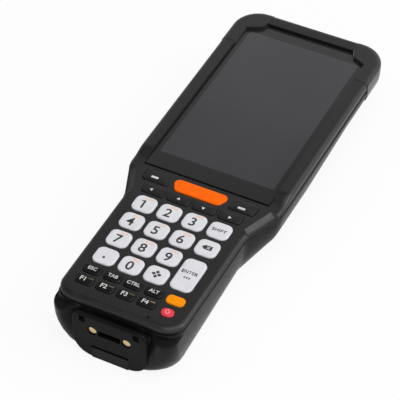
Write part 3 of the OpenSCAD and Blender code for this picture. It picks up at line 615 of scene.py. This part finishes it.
def turned(outline, degrees):
    """A flat outline turned anticlockwise about the origin."""
    angle = math.radians(degrees)
    cosine, sine = math.cos(angle), math.sin(angle)
    return np.array(outline) @ np.array([[cosine, sine], [-sine, cosine]])


def arc(radius, start, end, points):
    """Points on a circle about the origin, between two angles in degrees."""
    angle = np.radians(np.linspace(start, end, points))
    return np.column_stack([np.cos(angle), np.sin(angle)]) * radius


def small_marks(node, material, x, y, size):
    """A row of three slanted strokes that stands for a second legend too small to read."""
    stroke = np.array([(-0.5, -0.6), (0.35, -0.6), (0.5, 0.6), (-0.35, 0.6)]) * size
    for i in range(3):
        flat_print(node, stroke, material, (x + (i - 1) * 1.5 * size, y), f"letters_{i}")


def number_key_legends():
    """Digits with a small second legend above each, and the point."""
    for digit in range(10):
        text_print(f"key_{digit}", str(digit), 6.3, PRINT_DARK, offset=(-0.3, -0.8))
        small_marks(f"key_{digit}", PRINT_ORANGE, 0.9, 2.9, 0.75)
    one_flag = [(-1.65, 0.75), (-0.7, 1.1), (-0.7, 1.7), (-1.65, 1.25)]
    flat_print("key_1", one_flag, PRINT_DARK, name="flag")
    flat_print("key_point", rounded_outline(bar(1.1, 1.1), 0.5, steps=4), PRINT_DARK, (-0.3, -1.2))


def pale_key_signs():
    """Four petals about a middle, and a backspace sign with a pale cross on it."""
    petal = [(0.25, 0), (1.15, -0.85), (2.1, 0), (1.15, 0.85)]
    for i in range(4):
        flat_print("key_mode", turned(petal, 90 * i), PRINT_DARK, name=f"arrow_{i}")
    backspace = [(-2.3, 0), (-1.0, -1.15), (2.1, -1.15), (2.1, 1.15), (-1.0, 1.15)]
    flat_print("key_delete", backspace, PRINT_DARK)
    for name, degrees in (("cross_90", 45), ("cross_0", -45)):
        flat_print("key_delete", turned(bar(1.9, 0.34), degrees), PRINT_LIGHT, (0.55, 0), name, rise=2)


def upper_key_signs():
    """An arrow head on each arrow key and a short bar on each soft key."""
    for way, heading, offset in (
        ("left", 180, (-0.8, -0.55)),
        ("up", 90, (0, -0.5)),
        ("down", 270, (-0.25, -0.8)),
        ("right", 0, (0, -0.8)),
    ):
        flat_print(f"arrow_key_{way}", arc(0.85, heading, heading + 240, 3), PRINT_PALE, offset)
    for side, offset in (("left", (-0.55, -1.0)), ("right", (-0.25, -1.4))):
        flat_print(f"soft_key_{side}", rounded_outline(bar(3.2, 1.1), 0.3, steps=3), PRINT_PALE, offset)


def lower_key_legends():
    """Words and numbers on the small dark keys, and words on two pale ones."""
    for word in ("ESC", "TAB", "CTRL", "ALT"):
        text_print(f"key_{word.lower()}", word, 2.35, PRINT_PALE)
    for number in range(1, 5):
        text_print(f"key_f{number}", f"F{number}", 3.0, PRINT_PALE, offset=(-0.7, -0.1))
        small_marks(f"key_f{number}", PRINT_TAN if number == 4 else PRINT_GREEN, 2.2, 0.9, 0.5)
    text_print("key_enter", "ENTER", 2.3, PRINT_DARK, offset=(0, 1.0))
    small_marks("key_enter", PRINT_DARK, 0.2, -1.9, 0.7)
    text_print("key_shift", "SHIFT", 2.2, PRINT_DARK, offset=(0, -0.2), stretch=1.15)


def power_sign():
    """An open ring of 290 degrees with a short stroke in its gap."""
    ring = arc(1.05, 125, 415, 21)
    flat_print("power_key", np.concatenate([ring, 0.68 * ring[::-1]]), PRINT_ROSE, name="ring", strip=True)
    flat_print("power_key", bar(0.34, 0.9), PRINT_ROSE, (0, 0.8), "stroke")


number_key_legends()
pale_key_signs()
upper_key_signs()
lower_key_legends()
power_sign()


# ---- Stage ----

FLOOR_HALF = 3.0
FLOOR_GAP = 0.05 * MM
FLOOR_GLOW = 0.9
FLOOR_GLOSS = 0.2
WORLD_LIGHT = 0.42
WALL_GLOSS = 0.95
CEILING_GLOSS = 0.05
WALL_TOP = (0.62, 0.73)
DIM_SIDE = 0.4
DIM_SIDE_END = (-0.75, -0.2)


def add_camera():
    """A long lens that looks at the upper keys from the right and above, with the horizon level."""
    image_px = 400
    focal_px = 1917.7
    azimuth = math.radians(26.735)
    elevation = math.radians(44.57)
    distance = 772.8 * MM
    target = Vector((1.92, -22.21, 25.5)) * MM
    data = bpy.data.cameras.new("camera")
    data.sensor_width = 36
    data.lens = focal_px * data.sensor_width / image_px
    data.clip_start = 0.05
    data.clip_end = 20
    camera = bpy.data.objects.new("camera", data)
    bpy.context.scene.collection.objects.link(camera)
    horizontal = math.cos(elevation)
    back = Vector((math.sin(azimuth) * horizontal, -math.cos(azimuth) * horizontal, math.sin(elevation)))
    right = Vector((math.cos(azimuth), math.sin(azimuth), 0))
    turn = Matrix((right, back.cross(right), back)).transposed().to_4x4()
    camera.matrix_world = Matrix.Translation(target + back * distance) @ turn
    bpy.context.scene.camera = camera


def add_floor():
    """A white table top. A white glow is mixed into it: most of the mixture where the camera sees it,
    which leaves a trace of the shadow, and a small share of it in reflections."""
    mesh = bpy.data.meshes.new("floor")
    corners = [(x, y, -FLOOR_GAP) for x, y in bar(2 * FLOOR_HALF, 2 * FLOOR_HALF)]
    mesh.from_pydata(corners, [], [(0, 1, 2, 3)])
    floor = bpy.data.objects.new("floor", mesh)
    bpy.context.scene.collection.objects.link(floor)
    recipe = Recipe("floor", Base_Color=solid(0.9), Roughness=0.9, Specular_IOR_Level=0.1)
    seen = recipe.math("MULTIPLY", recipe.rays("Is Camera Ray", "Is Transmission Ray"), FLOOR_GLOW)
    mirrored = recipe.math("MULTIPLY", recipe.rays("Is Glossy Ray"), FLOOR_GLOSS)
    mix = recipe.node("ShaderNodeMixShader", Fac=recipe.math("MAXIMUM", seen, mirrored))
    recipe.feed(mix.inputs[1], recipe.shader.outputs[0])
    recipe.feed(mix.inputs[2], recipe.node("ShaderNodeEmission", Strength=1.0).outputs[0])
    recipe.feed(recipe.tree.nodes["Material Output"].inputs["Surface"], mix.outputs[0])
    mesh.materials.append(recipe.material)


def add_world():
    """Even grey light. Reflections see pale walls, dimmer on the left, that end in a dark ceiling. The
    camera sees white."""
    world = bpy.data.worlds.new("studio")
    bpy.context.scene.world = world
    world.use_nodes = True
    studio = Wiring(world.node_tree)
    background = studio.tree.nodes["Background"]
    studio.feed(background.inputs["Color"], (1, 1, 1))
    direction = studio.axes(studio.tree.nodes.new("ShaderNodeTexCoord").outputs["Generated"])
    walls = studio.ramp(direction["Z"], WALL_GLOSS, CEILING_GLOSS, *WALL_TOP)
    left_to_right = studio.ramp(direction["X"], DIM_SIDE, 1.0, *DIM_SIDE_END)
    mirrored = studio.math("MULTIPLY", walls, left_to_right)
    unseen = studio.ramp(studio.rays("Is Glossy Ray", "Is Transmission Ray"), WORLD_LIGHT, mirrored, 0, 1)
    strength = studio.ramp(studio.rays("Is Camera Ray"), unseen, 1.0, 0, 1)
    studio.feed(background.inputs["Strength"], strength)


def add_softbox(name, place, size, power):
    """A square area lamp that faces the middle of the terminal."""
    data = bpy.data.lights.new(name, "AREA")
    data.energy = power
    data.size = size
    lamp = bpy.data.objects.new(name, data)
    bpy.context.scene.collection.objects.link(lamp)
    place = Vector(place)
    lamp.matrix_world = Matrix.Translation(place) @ (-place).to_track_quat("-Z", "Y").to_matrix().to_4x4()


add_camera()
add_floor()
add_world()
add_softbox("overhead_softbox", place=(0.3, -0.25, 1.15), size=0.9, power=7)
add_softbox("side_softbox", place=(0.9, 0.35, 0.77), size=0.6, power=5)
bpy.context.scene.view_settings.view_transform = "Standard"
